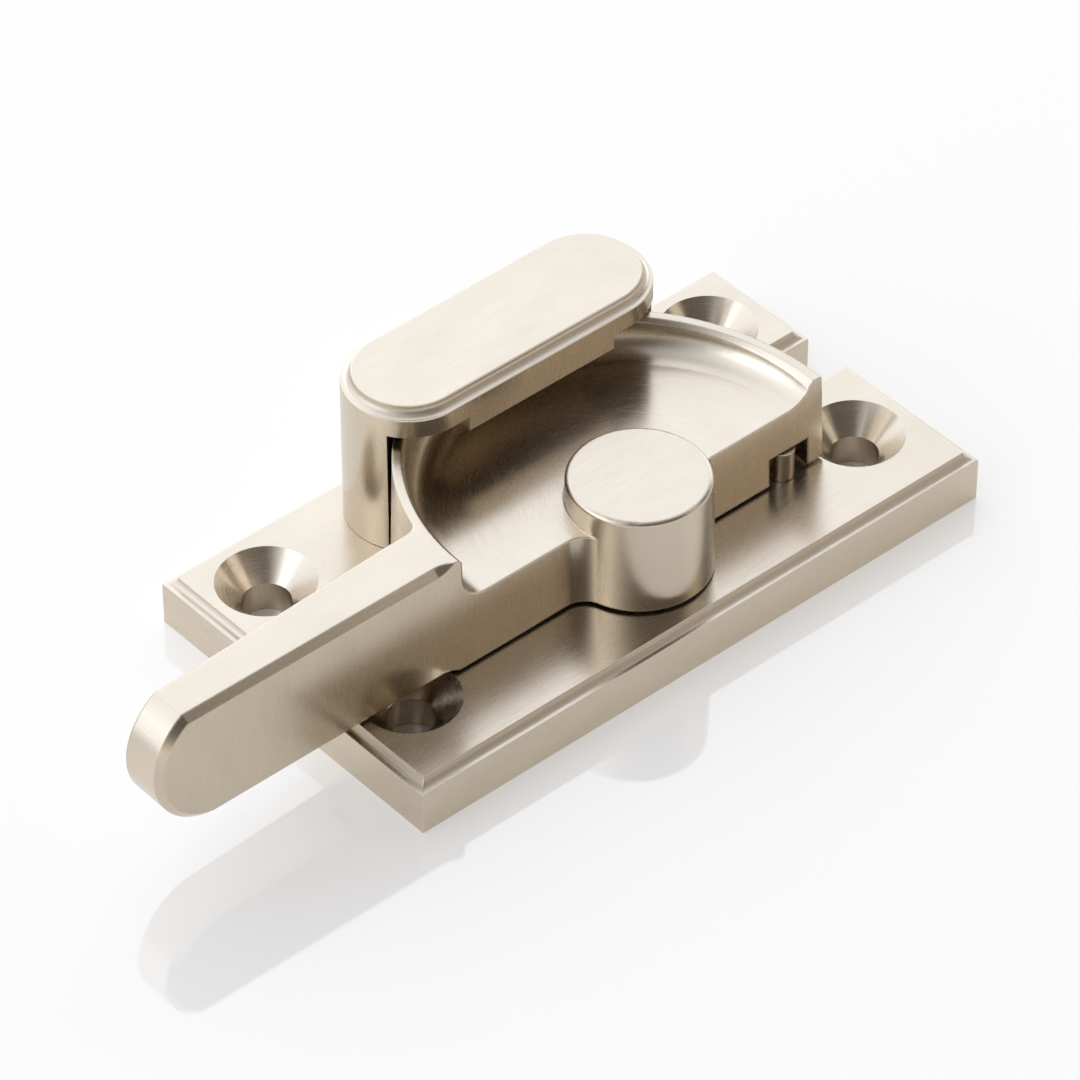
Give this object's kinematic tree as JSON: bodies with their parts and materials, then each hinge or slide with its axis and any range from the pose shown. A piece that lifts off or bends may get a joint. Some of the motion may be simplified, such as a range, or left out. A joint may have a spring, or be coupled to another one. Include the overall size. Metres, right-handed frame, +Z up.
{
  "type": "sash fastener",
  "caption": "Cam sash fastener: a lever turns a half-round cam with a rising rim under the hook of a keeper plate, and draws two sashes together.",
  "frame": {"origin": "the lever's pivot axis at the underside of the base plate", "axes": "+X along the plates, away from the lever bar; +Y towards the keeper plate; +Z up, away from the sashes"},
  "size_m": [0.0923, 0.0378, 0.0229],
  "materials": {
    "satin_nickel": "satin nickel plate",
    "steel": "plain"
  },
  "bodies": {
    "fastener": {"base_plate": "satin_nickel", "stop_peg": "satin_nickel", "spring_washer": "steel", "keeper_plate": "satin_nickel", "keeper_hook": "satin_nickel", "hook_screw_left": "steel", "hook_screw_right": "steel"},
    "lever": {"cam_lever": "satin_nickel", "pivot_pin": "steel", "retaining_washer": "steel", "pivot_screw": "steel"}
  },
  "joints": [
    {"name": "lever_turn", "type": "hinge", "parent": "fastener", "child": "lever", "pos_m": [0, 0, 0], "axis": [0, 0, 1], "range_deg": [0, 175]}
  ]
}
